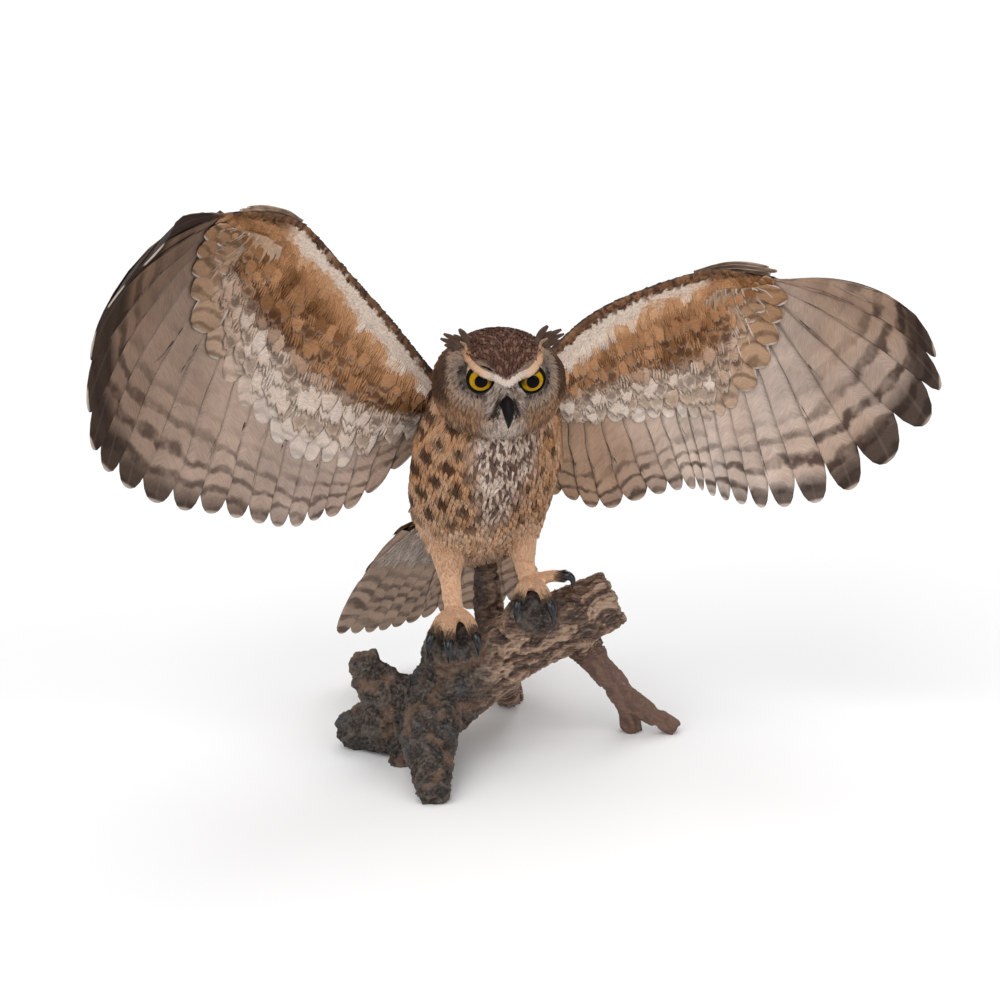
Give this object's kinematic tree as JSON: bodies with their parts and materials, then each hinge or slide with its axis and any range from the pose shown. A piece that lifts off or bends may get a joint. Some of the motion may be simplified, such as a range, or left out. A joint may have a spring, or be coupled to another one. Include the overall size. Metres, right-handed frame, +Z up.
{
  "type": "owl statue",
  "caption": "Painted resin statue of a great horned owl with raised, spread wings, perched on a rooted driftwood base.",
  "frame": {"origin": "on the surface the statue stands on, under the middle of its bounding box", "axes": "+Z up; +X to the owl's left, across the wingspan; the front of the statue faces -Y"},
  "size_m": [0.692, 0.4102, 0.4971],
  "materials": {
    "head_plumage": "hand-painted matt resin, mottled dark brown and cream",
    "body_plumage": "hand-painted matt resin, tawny with dark brown spots",
    "wing_lining": "hand-painted matt resin, orange brown with dark spots",
    "flight_feather": "hand-painted matt resin, greyish buff with dark brown bars",
    "leg": "hand-painted matt resin, buff with fine engraved lines",
    "claw": "painted blue-black with a slight gloss",
    "eye": "polished glass with a yellow iris and a black pupil",
    "bark": "painted resin, charcoal bark with brown and grey dry brushing",
    "driftwood": "painted resin, weathered brown wood grain"
  },
  "bodies": {
    "root": {"base_log": "driftwood", "base_perch_right": "bark", "base_perch_left": "bark", "base_knob": "bark", "base_root_left": "bark", "base_root_front": "bark", "base_root_small": "bark", "base_root_back": "driftwood", "base_prop": "driftwood", "base_prop_fork": "driftwood", "base_stub": "bark", "head": "head_plumage", "eye_right": "eye", "eye_left": "eye", "beak": "claw", "ear_tuft_right": "head_plumage", "ear_tuft_left": "head_plumage", "neck": "body_plumage", "trunk": "body_plumage", "tail": "flight_feather", "wing_right_arm": "wing_lining", "wing_right_hand": "wing_lining", "wing_right_primaries": "flight_feather", "wing_right_secondaries": "flight_feather", "wing_right_alula": "wing_lining", "leg_right": "leg", "foot_right": "leg", "talon_right_1": "claw", "talon_right_2": "claw", "talon_right_3": "claw", "talon_right_4": "claw", "wing_left_arm": "wing_lining", "wing_left_hand": "wing_lining", "wing_left_primaries": "flight_feather", "wing_left_secondaries": "flight_feather", "wing_left_alula": "wing_lining", "leg_left": "leg", "foot_left": "leg", "talon_left_1": "claw", "talon_left_2": "claw", "talon_left_3": "claw", "talon_left_4": "claw"}
  },
  "joints": []
}
